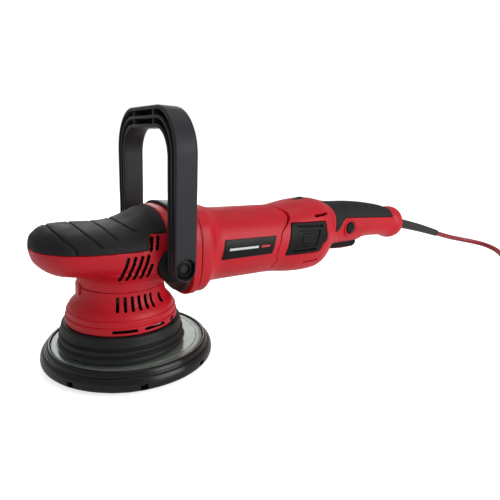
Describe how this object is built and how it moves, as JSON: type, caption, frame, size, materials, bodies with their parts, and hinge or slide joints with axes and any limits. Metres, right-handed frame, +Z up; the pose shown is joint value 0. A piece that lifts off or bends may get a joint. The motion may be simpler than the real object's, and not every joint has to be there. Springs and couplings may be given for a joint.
{
  "type": "dual action polisher",
  "caption": "Electric dual action polisher: round pad on an eccentric drive, long motor body, upright D handle, rear grip with trigger, and a mains cord.",
  "frame": {"origin": "the point where the drive spindle's axis meets the plane of the pad's face, which is the surface the tool stands on", "axes": "+X back from the head towards the rear handle and the cord, +Y to the operator's right when holding the rear handle, +Z up along the drive spindle"},
  "size_m": [0.6947, 0.2926, 0.2185],
  "materials": {
    "red_plastic": "satin moulded nylon, bright red",
    "black_grip": "soft touch overmould, fine matt grain",
    "black_plastic": "moulded, fine grain",
    "handle_plastic": "moulded glass filled nylon, satin, faint flow marks",
    "handle_bolt": "black oxide steel",
    "black_rubber": "smooth moulded rubber, satin",
    "pad_foam": "moulded skin of polyurethane foam, semi gloss",
    "pad_plate": "grey green composite plate, satin",
    "hook_fabric": "hook and loop face",
    "cast_alloy": "die cast, sand blasted",
    "steel": "ground and turned",
    "core_steel": "stamped laminations and sintered weight",
    "copper": "enamelled winding and copper segments",
    "carbon": "pressed carbon",
    "label": "printed plate with plain bars",
    "red_cord": "smooth red rubber sheath",
    "plug_rubber": "moulded rubber with plated pins"
  },
  "bodies": {
    "housing": {"gear_housing": "cast_alloy", "head_shell": "red_plastic", "head_grip_cover": "black_grip", "top_pad": "black_plastic", "bell_shroud": "red_plastic", "rubber_skirt": "black_rubber", "motor_housing": "red_plastic", "name_plate": "label", "rear_shell_left": "red_plastic", "rear_shell_right": "red_plastic", "rear_screw_1": "steel", "rear_screw_2": "steel", "rear_screw_3": "steel", "rear_screw_4": "steel", "brush_cover_left": "black_plastic", "brush_cover_right": "black_plastic", "handle_grip": "black_grip", "strain_relief": "black_rubber", "field_stator": "core_steel", "brush_holder_left": "black_plastic", "brush_holder_right": "black_plastic", "carbon_brush_left": "carbon", "carbon_brush_right": "carbon", "rear_bearing_bracket": "black_plastic", "switch_body": "black_plastic", "speed_module": "black_plastic", "cord_clamp": "black_plastic", "spindle_bearing_upper": "steel", "spindle_bearing_lower": "steel", "bearing_retainer": "cast_alloy", "armature_bearing_front": "steel", "armature_bearing_rear": "steel", "handle_boss_left": "black_plastic", "handle_boss_right": "black_plastic", "cord": "red_cord", "cord_coil": "red_cord", "plug": "plug_rubber"},
    "spindle": {"spindle_shaft": "steel", "crown_gear": "steel", "counterweight": "core_steel", "pad_bearing_upper": "steel", "pad_bearing_lower": "steel"},
    "pad": {"pad_spindle": "steel", "backing_plate": "pad_plate", "foam_pad": "pad_foam", "hook_face": "hook_fabric", "pad_bolt": "steel"},
    "armature": {"armature_shaft": "steel", "cooling_fan": "black_plastic", "armature_winding_front": "copper", "armature_core": "core_steel", "armature_winding_rear": "copper", "commutator": "copper"},
    "d_handle": {"d_handle": "handle_plastic", "handle_bolt_left": "handle_bolt", "handle_bolt_right": "handle_bolt"},
    "trigger": {"trigger": "black_plastic"},
    "lock_button": {"lock_button": "black_plastic"},
    "speed_dial": {"speed_dial": "black_plastic"}
  },
  "joints": [
    {"name": "armature_spin", "type": "hinge", "parent": "housing", "child": "armature", "pos_m": [0.1, 0, 0.0975], "axis": [1, 0, 0], "continuous": true},
    {"name": "spindle_spin", "type": "hinge", "parent": "housing", "child": "spindle", "pos_m": [0, 0, 0.08], "axis": [0, 0, 1], "continuous": true},
    {"name": "pad_spin", "type": "hinge", "parent": "spindle", "child": "pad", "pos_m": [0.00817, 0.00659, 0.02], "axis": [0, 0, 1], "continuous": true},
    {"name": "d_handle_tilt", "type": "hinge", "parent": "housing", "child": "d_handle", "pos_m": [0.0305, 0, 0.0945], "axis": [0, 1, 0], "range_deg": [-30, 30]},
    {"name": "trigger_pull", "type": "hinge", "parent": "housing", "child": "trigger", "pos_m": [0.284, 0, 0.0845], "axis": [0, 1, 0], "range_deg": [0, 6], "stiffness_Nm_per_rad": 2, "springref_deg": -8.59},
    {"name": "lock_press", "type": "slide", "parent": "housing", "child": "lock_button", "axis": [0, 1, 0], "range_m": [0, 0.003], "stiffness_N_per_m": 800, "springref_m": -0.001},
    {"name": "speed_turn", "type": "hinge", "parent": "housing", "child": "speed_dial", "pos_m": [0.198, 0, 0.1291], "axis": [0, 1, 0], "range_deg": [0, 270]}
  ],
  "couplings": [
    {"joint": "spindle_spin", "follows": "armature_spin", "ratio": 0.25}
  ]
}
